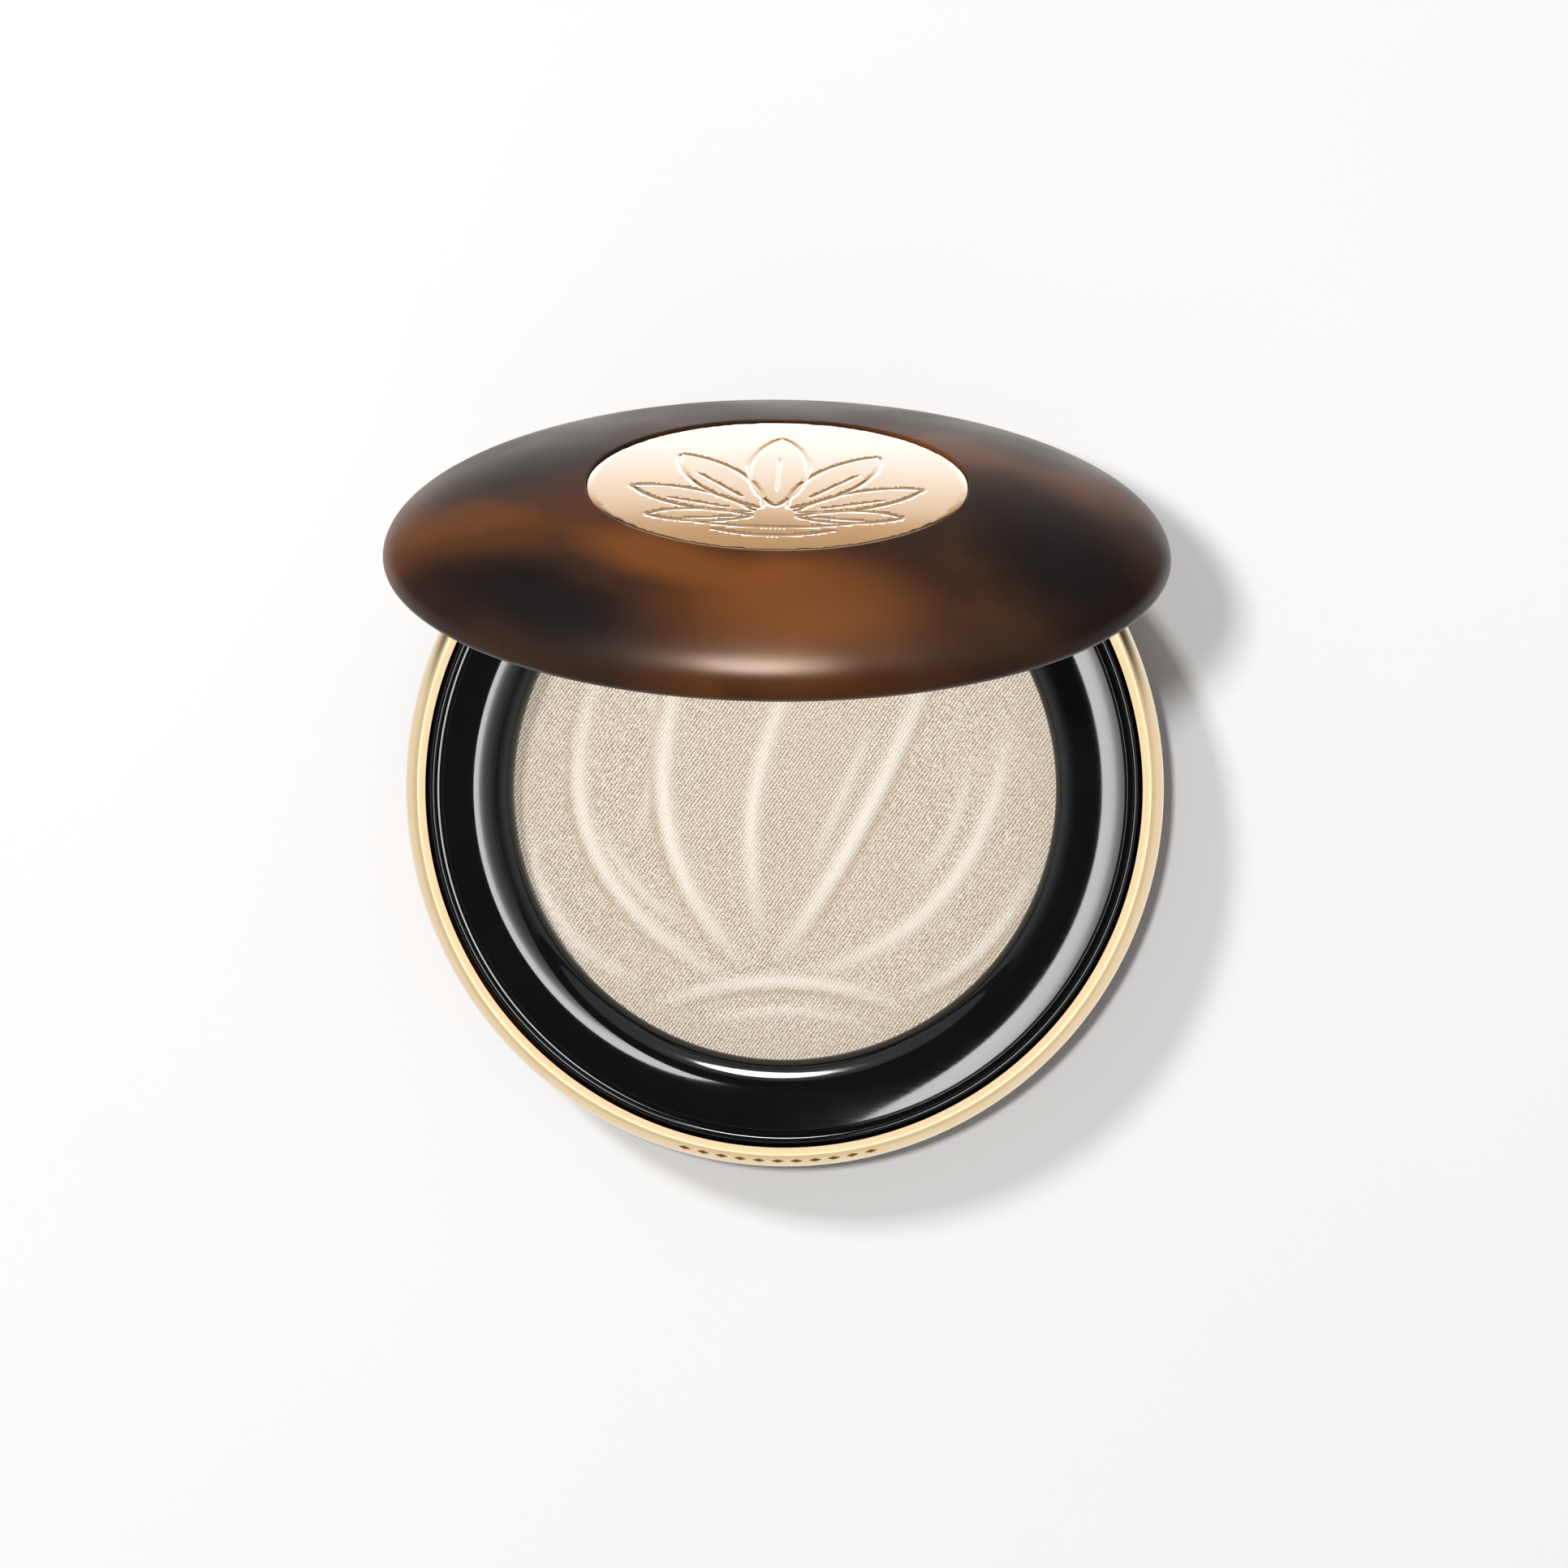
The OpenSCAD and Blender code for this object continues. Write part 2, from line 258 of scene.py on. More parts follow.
class Look:
    """A material's node tree, with short calls for the nodes used here."""

    def __init__(self, name, on_lid=False, **values):
        self.material = bpy.data.materials.new(name)
        self.material.use_nodes = True
        self.tree = self.material.node_tree
        self.shader = self.tree.nodes["Principled BSDF"]
        for socket, value in values.items():
            self.shader.inputs[socket.replace("_", " ")].default_value = value
        self.place = self.node("ShaderNodeTexCoord").outputs["Object"]
        if on_lid:
            turn = lid_to_world.inverted()
            inputs = {"Vector": self.place, "Location": turn.translation, "Rotation": turn.to_euler()}
            self.place = self.node("ShaderNodeMapping", inputs).outputs["Vector"]

    def node(self, kind, inputs=(), **settings):
        """A new node with its settings, and its inputs linked or set."""
        made = self.tree.nodes.new(kind)
        for key, value in settings.items():
            setattr(made, key, value)
        for key, value in dict(inputs).items():
            self.put(made.inputs[key], value)
        return made

    def put(self, socket, value):
        """Links an input to another node's output, or gives it a value."""
        if isinstance(value, bpy.types.NodeSocket):
            self.tree.links.new(value, socket)
        else:
            socket.default_value = value

    def set(self, socket, value):
        """Links or sets an input of the surface shader."""
        self.put(self.shader.inputs[socket], value)

    def math(self, operation, *values):
        made = self.node("ShaderNodeMath", operation=operation)
        for socket, value in zip(made.inputs, values):
            self.put(socket, value)
        return made.outputs[0]

    def weigh(self, first, share, second):
        """Two values mixed, with the given share of the first."""
        rest = self.math("MULTIPLY", second, 1 - share)
        return self.math("ADD", self.math("MULTIPLY", first, share), rest)

    def vector(self, operation, first, second=None):
        """A vector calculation. The second value is a number for SCALE."""
        made = self.node("ShaderNodeVectorMath", {0: first}, operation=operation)
        if second is not None:
            self.put(made.inputs["Scale" if operation == "SCALE" else 1], second)
        return made.outputs["Value" if operation == "LENGTH" else "Vector"]

    def noise(self, size, detail=3.0, rough=0.5, place=None):
        """Noise from 0 to 1 whose grains are about size metres across."""
        inputs = {"Vector": place or self.place, "Scale": 1 / size}
        inputs.update({"Detail": detail, "Roughness": rough})
        return self.node("ShaderNodeTexNoise", inputs).outputs["Fac"]

    def shaken(self, scale, detail, amount):
        """The place, shifted by up to half the amount each way along each axis."""
        inputs = {"Vector": self.place, "Scale": scale, "Detail": detail}
        drift = self.node("ShaderNodeTexNoise", inputs)
        centred = self.vector("SUBTRACT", drift.outputs["Color"], (0.5, 0.5, 0.5))
        return self.vector("ADD", self.place, self.vector("SCALE", centred, amount))

    def span(self, value, low, high, to_low=0.0, to_high=1.0, kind="LINEAR"):
        """Turns the range from low to high into the range from to_low to to_high."""
        inputs = {"Value": value, "From Min": low, "From Max": high}
        inputs.update({"To Min": to_low, "To Max": to_high})
        return self.node("ShaderNodeMapRange", inputs, interpolation_type=kind).outputs["Result"]

    def mix(self, share, a, b):
        made = self.node("ShaderNodeMix", data_type="RGBA")
        self.put(made.inputs[0], share)
        for socket, value in zip([made.inputs[6], made.inputs[7]], [a, b]):
            self.put(socket, value if isinstance(value, bpy.types.NodeSocket) else (*value, 1))
        return made.outputs[2]

    def stretch(self, scale, turn=0.0, place=None):
        """Coordinates turned about Z and scaled by an amount for each axis."""
        inputs = {"Vector": place or self.place, "Rotation": (0, 0, turn), "Scale": scale}
        return self.node("ShaderNodeMapping", inputs).outputs["Vector"]

    def bump(self, height, depth, strength=1.0):
        inputs = {"Height": height, "Distance": depth, "Strength": strength, "Filter Width": 1.0}
        self.set("Normal", self.node("ShaderNodeBump", inputs).outputs["Normal"])


SMUDGE = 10.8 * MM
SMUDGE_SHARE = 0.65
SCRATCH = (1 / (4.5 * MM), 1 / (0.25 * MM), 1 / (0.25 * MM))
SCRATCH_TURN = 0.7


def wear(look, low, high):
    """Roughness between low and high: soft smudges and fine scratches."""
    smudge = look.noise(SMUDGE, 4)
    fine = look.noise(1.0, 2, place=look.stretch(SCRATCH, SCRATCH_TURN))
    both = look.weigh(smudge, SMUDGE_SHARE, fine)
    look.set("Roughness", look.span(both, 0.3, 0.7, low, high))
    return both


# ---------------------------------------------------------------- materials

TORTOISE_DARK = (0.010, 0.008, 0.009)
TORTOISE_BROWN = (0.045, 0.019, 0.0095)
TORTOISE_AMBER = (0.215, 0.064, 0.013)

PATCH_CORE, PATCH_REACH = 0.35, 1.5  # a patch fades between these shares of its half length and width

# Patches of the lid in millimetres: x, y, half length, half width, turn in degrees, strength
DARK_PATCHES = [
    (-22, -26, 16, 5.5, -45, 1.0),
    (-33, -19, 8, 5, -60, 0.7),
    (-24, 9, 9, 12, -20, 0.65),
    (29, -14, 9, 14, 15, 0.95),
    (23, 0, 7, 8, 0, 0.5),
    (-2, 28, 16, 6, 5, 0.3),
    (25, -33, 10, 4, 30, 0.6),
]
AMBER_PATCHES = [
    (3, -28, 11, 9, 0, 0.9),
    (-11, -19, 11, 4, -40, 0.75),
    (-30, -6, 10, 4.5, -25, 0.5),
    (16, 11, 10, 6, -30, 0.45),
    (31, 6, 6, 6, 0, 0.4),
    (-38, 4, 4, 8, 0, 0.4),
]


def patches(look, place, spots):
    """The soft sum of elliptical patches, from 0 to 1."""
    clear = None
    for x, y, length, width, turn, strength in spots:
        moved = look.vector("SUBTRACT", place, (x * MM, y * MM, 0))
        inputs = {"Vector": moved, "Angle": math.radians(-turn)}
        turned = look.node("ShaderNodeVectorRotate", inputs, rotation_type="Z_AXIS").outputs["Vector"]
        scaled = look.vector("MULTIPLY", turned, (1 / (length * MM), 1 / (width * MM), 0))
        away = look.vector("LENGTH", scaled)
        left = look.span(away, PATCH_CORE, PATCH_REACH, 1 - strength, 1.0, "SMOOTHSTEP")
        clear = left if clear is None else look.math("MULTIPLY", clear, left)
    return look.math("SUBTRACT", 1.0, clear)


def tortoiseshell(name, dark_spots, amber_spots):
    """Satin plastic with blurred amber and near-black patches deep under the surface."""
    look = Look(name, on_lid=bool(dark_spots), IOR=1.5, Specular_IOR_Level=0.12)
    look.set("Specular Tint", (1.0, 0.80, 0.64, 1.0))
    flow = look.shaken(70, 1.5, 4 * MM)
    cloud = look.noise(24 * MM, 1.2, 0.4, flow)
    veins = look.noise(1.0, 2.0, 0.5, look.stretch((22, 60, 60), 0.5, flow))
    dark = look.span(cloud, 0.50, 0.66, 0.0, 0.55, "SMOOTHSTEP")
    amber = look.span(cloud, 0.47, 0.33, 0.0, 0.75, "SMOOTHSTEP")
    if dark_spots:
        faint_dark = look.math("MULTIPLY", dark, 0.4)
        faint_amber = look.math("MULTIPLY", amber, 0.35)
        dark = look.math("MAXIMUM", faint_dark, patches(look, flow, dark_spots))
        amber = look.math("MAXIMUM", faint_amber, patches(look, flow, amber_spots))
    amber = look.math("MULTIPLY", amber, look.span(veins, 0.3, 0.65, 0.75, 1.1))
    colour = look.mix(amber, TORTOISE_BROWN, TORTOISE_AMBER)
    fleck = look.noise(4 * MM, 2, 0.5, flow)
    colour = look.mix(look.span(fleck, 0.3, 0.9, 0.0, 0.12, "SMOOTHSTEP"), colour, TORTOISE_AMBER)
    colour = look.mix(look.math("MULTIPLY", dark, 0.97), colour, TORTOISE_DARK)
    look.set("Base Color", colour)
    look.set("Roughness", look.span(look.noise(11 * MM, 1), 0.2, 0.8, 0.24, 0.34, "SMOOTHSTEP"))
    look.bump(look.noise(16 * MM, 0), 0.05 * MM, 0.3)
    return look.material


def black_gloss():
    """High-gloss black moulding with faint smudges and a slight moulding ripple."""
    look = Look("black_gloss", IOR=1.48)
    deep, pale = (0.0030, 0.0036, 0.0042), (0.0050, 0.0056, 0.0062)
    look.set("Base Color", look.mix(look.noise(6 * MM), deep, pale))
    both = wear(look, 0.035, 0.09)
    look.bump(both, 0.002 * MM, 0.25)
    return look.material


def polished_gold():
    """Pale gold metallising: fine lines round the band, polished unevenly."""
    look = Look("polished_gold", Metallic=1.0)
    lines = look.noise(1.0, 2, place=look.stretch((60, 60, 9000)))
    deep, pale = (0.87, 0.64, 0.36), (0.94, 0.75, 0.49)
    tone = look.weigh(look.noise(5 * MM, 3), 0.6, lines)
    look.set("Base Color", look.mix(tone, deep, pale))
    wear(look, 0.10, 0.2)
    look.bump(lines, 0.004 * MM, 0.25)
    return look.material


# A darker material for the floors of the engraved marks
def dark_mark_floor():
    """The darker floor of the engraved marks."""
    look = Look("engraved_floor", Metallic=0.85)
    deep, pale = (0.30, 0.17, 0.045), (0.42, 0.25, 0.08)
    look.set("Base Color", look.mix(look.noise(0.3 * MM), deep, pale))
    wear(look, 0.35, 0.5)
    return look.material


def champagne_metal():
    """The medallion: champagne gold, mirror polished, with a very fine satin grain."""
    look = Look("champagne_metal", on_lid=True, Metallic=1.0)
    grain = look.noise(1.0, 3, place=look.stretch((250, 5200, 250), 0.06))
    deep, pale = (0.90, 0.69, 0.51), (0.95, 0.77, 0.59)
    tone = look.weigh(look.noise(7 * MM, 3), 0.7, grain)
    look.set("Base Color", look.mix(tone, deep, pale))
    look.set("Roughness", look.span(tone, 0.3, 0.7, 0.07, 0.12))
    look.bump(grain, 0.003 * MM, 0.2)
    return look.material


WEAVE_PITCH = 0.37 * MM
WEAVE_TURN = math.radians(8)
WEAVE_SHARE = 0.27
# Powder colours: painted shade in the dips and painted highlight on the raised threads of the weave and
# grains
POWDER_DIP_SHADE = (0.28, 0.17, 0.10)
POWDER_TOP_HIGHLIGHT = (1.0, 0.95, 0.82)
POWDER_CLOUD = (0.74, 0.60, 0.44)
# Painted sheen on the ridges
POWDER_RIDGE_SHEEN = (1.0, 0.94, 0.82)
# Painted shade in the creases
POWDER_CREASE_SHADE = (0.45, 0.32, 0.19)


def pressed_powder():
    """Pearly pressed powder: a woven press mark, loose grains and smooth ridges. Its colour holds
    painted shade and highlight on the weave, a painted sheen on the ridges and painted shade in the
    creases.
    """
    sheen = {"Sheen_Weight": 0.12, "Sheen_Roughness": 0.5}
    look = Look("pressed_powder", IOR=1.45, Specular_IOR_Level=0.35, **sheen)
    waves = 2 * math.pi / WEAVE_PITCH
    cells = look.stretch((waves, waves, 0), WEAVE_TURN, look.shaken(900, 2, 0.5 * WEAVE_PITCH))
    parts = look.node("ShaderNodeSeparateXYZ", {0: cells}).outputs
    row = look.math("SINE", look.math("ADD", parts["X"], look.math("MULTIPLY", parts["Y"], 0.5)))
    column = look.math("SINE", parts["Y"])
    weave = look.math("MULTIPLY", row, column)
    grain = look.noise(0.16 * MM, 3, 0.65)
    height = look.math("ADD", look.math("MULTIPLY", weave, WEAVE_SHARE), grain)
    ridge = look.node("ShaderNodeAttribute", attribute_name="ridge").outputs["Fac"]
    crease = look.node("ShaderNodeAttribute", attribute_name="crease").outputs["Fac"]
    flat = look.math("SUBTRACT", 1.0, look.math("MULTIPLY", ridge, 0.55))
    tone = look.math("ADD", look.math("MULTIPLY", look.math("SUBTRACT", height, 0.5), flat), 0.5)
    # The colour follows the height of the weave and grains: painted shade in the dips, painted
    # highlight on the tops, less of both on the ridges
    colour = look.mix(look.span(tone, 0.36, 0.62), POWDER_DIP_SHADE, POWDER_TOP_HIGHLIGHT)
    broad = look.noise(11 * MM, 3)
    colour = look.mix(look.span(broad, 0.35, 0.65, 0.0, 0.14), colour, POWDER_CLOUD)
    # Painted sheen: the ridges are lightened
    colour = look.mix(look.math("MULTIPLY", ridge, 0.62), colour, POWDER_RIDGE_SHEEN)
    # Painted shade: the creases are darkened
    colour = look.mix(look.math("MULTIPLY", crease, 0.40), colour, POWDER_CREASE_SHADE)
    look.set("Base Color", colour)
    look.set("Roughness", look.span(grain, 0.3, 0.7, 0.5, 0.72))
    look.bump(look.math("MULTIPLY", height, flat), 0.09 * MM, 1.0)
    return look.material


def silvered_mirror():
    """Silvered glass with faint hazy patches."""
    look = Look("silvered_mirror", Metallic=1.0)
    deep, pale = (0.83, 0.85, 0.86), (0.87, 0.89, 0.90)
    look.set("Base Color", look.mix(look.noise(12 * MM), deep, pale))
    look.set("Roughness", look.span(look.noise(8 * MM, 5, 0.6), 0.45, 0.75, 0.012, 0.05))
    return look.material


def plain_metal(name, dark, light, low, high):
    """Bare drawn or plated metal with a short grain."""
    look = Look(name, Metallic=1.0)
    grain = look.noise(1.0, 3, place=look.stretch((900, 4000, 900), 0.4))
    look.set("Base Color", look.mix(grain, dark, light))
    wear(look, low, high)
    look.bump(grain, 0.003 * MM, 0.3)
    return look.material


def plain_film(name, dark, light, low, high):
    """Film, tape or natural plastic with a faint mottle."""
    look = Look(name, IOR=1.46)
    mottle = look.noise(0.8 * MM, 4, 0.6)
    look.set("Base Color", look.mix(mottle, dark, light))
    wear(look, low, high)
    look.bump(mottle, 0.006 * MM, 0.4)
    return look.material


lid_tortoise = tortoiseshell("tortoiseshell_lid", DARK_PATCHES, AMBER_PATCHES)
base_tortoise = tortoiseshell("tortoiseshell_base", [], [])
black = black_gloss()
gold = polished_gold()
mark_floor = dark_mark_floor()
champagne = champagne_metal()
powder_look = pressed_powder()
mirror_look = silvered_mirror()
steel = plain_metal("plain_steel", (0.50, 0.51, 0.53), (0.62, 0.63, 0.65), 0.22, 0.38)
aluminium = plain_metal("drawn_aluminium", (0.72, 0.72, 0.73), (0.84, 0.84, 0.85), 0.25, 0.42)
nickel = plain_metal("nickel_plate", (0.60, 0.58, 0.55), (0.70, 0.68, 0.65), 0.15, 0.3)
tape = plain_film("adhesive_film", (0.72, 0.72, 0.66), (0.84, 0.84, 0.78), 0.5, 0.7)
acetal = plain_film("natural_acetal", (0.80, 0.80, 0.77), (0.88, 0.88, 0.85), 0.35, 0.5)
label_look = plain_film("blank_label", (0.74, 0.72, 0.66), (0.82, 0.80, 0.74), 0.45, 0.65)


# ---------------------------------------------------------------- base pieces


def base_shell():
    """The lower casing: flat foot with the label's recess, round belly and a spigot under the band."""
    wall, bottom, recess, edge = 1.3 * MM, 1.6 * MM, 0.2 * MM, 0.12 * MM
    inner_r = FRAME_R - wall
    outside = arc(FOOT_R, BAND_LOW, SHELL_R - FOOT_R, -BAND_LOW, 0, 90, 40)
    inside = arc(FOOT_R - MM, BAND_LOW, inner_r - FOOT_R + MM, bottom - BAND_LOW, 90, 0)
    label_edge = LABEL_R + 0.5 * MM
    spigot = BAND_LOW + 1.6 * MM
    section = [(0, recess), (label_edge, recess), (label_edge, 0)] + outside
    section += [(FRAME_R, BAND_LOW), (FRAME_R, spigot), (inner_r, spigot)] + inside + [(0, bottom)]
    piece = lathe("base_shell_moulding", soften(section, edge))
    return place(piece, "base", "base_shell", slot="tortoiseshell", look=base_tortoise)


def base_label():
    """The blank film in the foot."""
    low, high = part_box("base_label")
    section = [(0, low.z), (LABEL_R, low.z), (LABEL_R, high.z), (0, high.z)]
    piece = lathe("base_label_film", soften(section, 0.04 * MM))
    return place(piece, "base", "base_label", slot="label", look=label_look)


def frame_section():
    """The inner frame's outline: slope, land, facet, groove and bead above, walls below."""
    facet_z = CREST - 0.13 * MM
    bead_z = CREST - 0.85 * MM
    groove_z = CREST - 0.88 * MM
    ledge_z = CREST - 0.95 * MM
    roof = CREST - 1.5 * MM
    slope_low = LIP_Z + 0.45 * MM
    slope = arc(SLOPE_R, slope_low, SLOPE_R - LIP_R, CREST - slope_low, -88, 0, 40)
    bead = arc(BEAD_R, bead_z, BEAD, BEAD, -90, 90, 16)
    well_out, well_low = WELL_R + 0.9 * MM, 2 * MM
    skirt_out = FRAME_R - 1.35 * MM
    skirt_in = skirt_out - MM
    low = BAND_LOW + 1.65 * MM
    edge = 0.09 * MM
    return soften(
        [(LIP_R, LIP_Z)]
        + slope
        + [(LAND_R, CREST), (FACET_R, facet_z), (GROOVE_R, groove_z)]
        + bead
        + [(FRAME_R, ledge_z), (FRAME_R, low), (skirt_out, low), (skirt_out, BAND_LOW)]
        + [(skirt_in, BAND_LOW), (skirt_in, roof - 0.2 * MM), (SLOPE_R, roof)]
        + [(well_out, LIP_Z + 0.2 * MM), (well_out, well_low), (WELL_R, well_low), (WELL_R, LIP_Z)],
        edge,
        closed=True,
    )


def base_frame():
    """The glossy inner frame with its two hinge ears."""
    pin_hole = 0.61 * MM
    web_low_z = BAND_NOTCH + 0.2 * MM
    piece = lathe("base_frame_moulding", frame_section())
    for side in (-1, 1):
        x0, x1 = sorted((side * EAR_IN, side * EAR_OUT))
        combine(piece, axle(KNUCKLE_R, x0, x1, HINGE, KNUCKLE_EDGE), "UNION")
        web_low = (x0 + WEB_INSET, HINGE.y - KNUCKLE_R + SKIN, web_low_z)
        web_high = (x1 - WEB_INSET, HINGE.y + KNUCKLE_R - SKIN, HINGE.z)
        combine(piece, block(web_low, web_high), "UNION")
    combine(piece, axle(SWEEP_R, -EAR_IN, EAR_IN, HINGE), "DIFFERENCE")
    combine(piece, axle(pin_hole, -FAR, FAR, HINGE), "DIFFERENCE")
    return place(piece, "base", "base_frame", slot="black_gloss", look=black)


def lozenge(angle):
    """A cutter for one engraved mark, square to the band's rounded shoulder."""
    length, width, depth = 0.62 * MM, 0.30 * MM, 0.12 * MM
    clear, flare = 0.6 * MM, 1.6  # the cutter's height over the band, and how much wider it is there
    half_width, half_height = 1.9, 3.3  # of the shoulder, in millimetres
    lean = math.radians(40)  # place on the shoulder, counted from its top
    mesh = bmesh.new()
    outline = [(length, 0), (0, width), (-length, 0), (0, -width)]
    floor = [mesh.verts.new((x, y, -depth)) for x, y in outline]
    roof = [mesh.verts.new((x * flare, y * flare, clear)) for x, y in outline]
    mesh.faces.new(floor)
    mesh.faces.new(roof)
    for i in range(4):
        mesh.faces.new([floor[i], floor[(i + 1) % 4], roof[(i + 1) % 4], roof[i]])
    cutter = finish_mesh("cutter", mesh)
    mark_r = SHOULDER_R + half_width * MM * math.sin(lean)
    mark_z = BAND_MID + (BAND_TOP - BAND_MID) * math.cos(lean)
    tip = math.atan2(math.sin(lean) / half_width, math.cos(lean) / half_height)
    face = Matrix.Translation((0, -mark_r, mark_z)) @ Matrix.Rotation(tip, 4, "X")
    cutter.data.transform(Matrix.Rotation(angle, 4, "Z") @ face)
    cutter.data.materials.append(gold)
    cutter.data.materials.append(mark_floor)
    for polygon in cutter.data.polygons:
        polygon.material_index = 1
    return cutter


def gold_band():
    """The metallised ring, with a notch for the hinge and a row of plain marks at the front."""
    section = [(BAND_R, BAND_LOW), (SHELL_R, BAND_LOW)]
    section += arc(SHELL_R, BAND_MID, BODY_R - SHELL_R, BAND_LOW - BAND_MID, 0, 90, 8)
    section += arc(SHOULDER_R, BAND_MID, BODY_R - SHOULDER_R, BAND_TOP - BAND_MID, 90, 0, 40)
    section += [(BAND_R, BAND_TOP)]
    piece = lathe("gold_band_ring", soften(section, 0.08 * MM, closed=True))
    piece.data.materials.append(gold)
    piece.data.materials.append(mark_floor)
    combine(piece, block((-NOTCH_X, 0, BAND_NOTCH), (NOTCH_X, FAR, FAR)), "DIFFERENCE")
    marks, step = 11, math.radians(2.9)
    for i in range(marks):
        combine(piece, lozenge((i - (marks - 1) / 2) * step), "DIFFERENCE")
    return place(piece, "base", "gold_band", slot="gold", look=gold)


def curve_points(start, bend, end, steps=40):
    """Points of a quadratic curve."""
    t = np.linspace(0, 1, steps + 1)[:, None]
    start, bend, end = (np.array(p, float) for p in (start, bend, end))
    return start * (1 - t) ** 2 + bend * 2 * t * (1 - t) + end * t**2


def away_from(points, line):
    """Distance from each point to a polyline, how far along it is, and the side it lies on."""
    best = np.full(len(points), np.inf)
    along = np.zeros(len(points))
    side = np.zeros(len(points))
    pieces = len(line) - 1
    for i in range(pieces):
        a, b = line[i], line[i + 1]
        d = b - a
        t = np.clip(((points - a) @ d) / (d @ d), 0, 1)
        gap = points - (a + t[:, None] * d)
        distance = np.hypot(gap[:, 0], gap[:, 1])
        nearer = distance < best
        best[nearer] = distance[nearer]
        along[nearer] = ((i + t) / pieces)[nearer]
        side[nearer] = np.sign(d[0] * gap[:, 1] - d[1] * gap[:, 0])[nearer]
    return best, along, side


# Ribs pressed in the powder, in millimetres: start, bend, end, half width, relative height, and the
# side that has a crease beside it (1 left of the way, -1 right, 0 neither)
RIBS = [
    ((-5, -20), (-27, -9), (-19, 12), 0.80, 0.17, 1),
    ((-4, -18), (-17, -5), (-10, 14), 0.85, 0.19, 1),
    ((-2, -15), (-6, -1), (2, 14), 0.80, 0.17, 0),
    ((0, -17), (8, -6), (15, 13), 0.85, 0.19, -1),
    ((3, -19), (21, -14), (23, 7), 0.80, 0.17, 0),
    ((-15, -20), (-25, -16), (-26, -5), 0.70, 0.13, 0),
    ((13, -21), (22, -18), (26, -7), 0.70, 0.13, -1),
    ((-15, -5), (-12, 3), (-14, 11), 0.60, 0.10, 0),
    ((3, -8), (6, -1), (9, 7), 0.60, 0.10, 0),
    ((14, -9), (18, -5), (19, 3), 0.60, 0.10, 0),
    ((-10, -14), (-16, -11), (-19, -4), 0.60, 0.10, 0),
    ((-13, -22.5), (0, -17.5), (12, -22), 0.75, 0.15, -1),
    ((-8, -24.5), (0, -21.5), (9, -24.2), 0.60, 0.10, 0),
]
TALLEST_RIB = 0.19  # the largest relative height above
RIB_RISE = 0.13 * MM
CREASE_DEPTH = 0.05 * MM
CREASE_AWAY, CREASE_WIDTH = 1.5, 0.45  # in half widths of the rib


def powder_cake():
    """The pressed powder: a crowned disc with soft ribs."""
    low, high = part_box("powder_cake")
    rim_z = LIP_Z - 0.1 * MM
    crown = 0.12 * MM
    flat_rim = 0.04  # share of the radius over which the relief fades to the rim's level
    rings, turn = 150, 420
    r = np.linspace(0, LIP_R, rings + 1)[1:]
    t = np.arange(turn) * 2 * math.pi / turn
    x = np.concatenate([[0], np.outer(r, np.cos(t)).ravel()]) / MM
    y = np.concatenate([[0], np.outer(r, np.sin(t)).ravel()]) / MM
    flat = np.stack([x, y], 1)
    ridge = np.zeros(len(flat))
    crease = np.zeros(len(flat))
    for start, bend, end, width, height, sharp in RIBS:
        gap, along, side = away_from(flat, curve_points(start, bend, end))
        taper = np.sin(np.pi * np.clip(along, 0.02, 0.98)) ** 0.6
        form = np.exp(-((gap / width) ** 2)) * taper * (gap < 4 * width)
        # The ridge mask also paints a sheen into the ridges' colour
        ridge = np.maximum(ridge, form * height / TALLEST_RIB)
        if sharp:
            # The crease mask also paints shade into the creases' colour
            off = (gap - CREASE_AWAY * width) / (CREASE_WIDTH * width)
            crease = np.maximum(crease, np.exp(-(off**2)) * taper * (side == sharp))
    distance = np.hypot(x, y) * MM / LIP_R
    z = rim_z + crown * (1 - distance**2) + RIB_RISE * ridge - CREASE_DEPTH * crease
    fade = np.clip((1 - distance) / flat_rim, 0, 1)
    z = rim_z + (z - rim_z) * fade
    mesh = bmesh.new()
    verts = [mesh.verts.new((a * MM, b * MM, c)) for a, b, c in zip(x, y, z)]
    grid = [verts[1 + i * turn : 1 + (i + 1) * turn] for i in range(rings)]
    grid += [ring_of(mesh, high.x, level, turn) for level in (rim_z, low.z)]
    for i in range(turn):
        j = (i + 1) % turn
        mesh.faces.new([verts[0], grid[0][i], grid[0][j]])
        for inner, outer in zip(grid, grid[1:]):
            mesh.faces.new([inner[i], outer[i], outer[j], inner[j]])
    mesh.faces.new(grid[-1])
    piece = finish_mesh("pressed_powder_cake", mesh)
    rest = len(piece.data.vertices) - len(flat)
    for name, values in (("ridge", ridge), ("crease", crease)):
        attribute = piece.data.attributes.new(name, "FLOAT", "POINT")
        attribute.data.foreach_set("value", np.concatenate([values, np.zeros(rest)]).astype(np.float32))
    return place(piece, "base", "powder_cake", slot="powder", look=powder_look)


def hinge_pin():
    """The steel pin that the lid turns on."""
    low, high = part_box("hinge_pin")
    piece = axle(high.z - HINGE.z, low.x, high.x, HINGE, 0.12 * MM)
    piece.name = "hinge_pin_rod"
    return place(piece, "base", "hinge_pin", slot="steel", look=steel)


# ---------------------------------------------------------------- lid pieces


def lid_cutter(low, high):
    """A box given in the closed pose, moved into the lid's own frame."""
    cutter = block(low, high)
    cutter.data.transform(Matrix.Translation((0, 0, -LID_PLANE)))
    return cutter


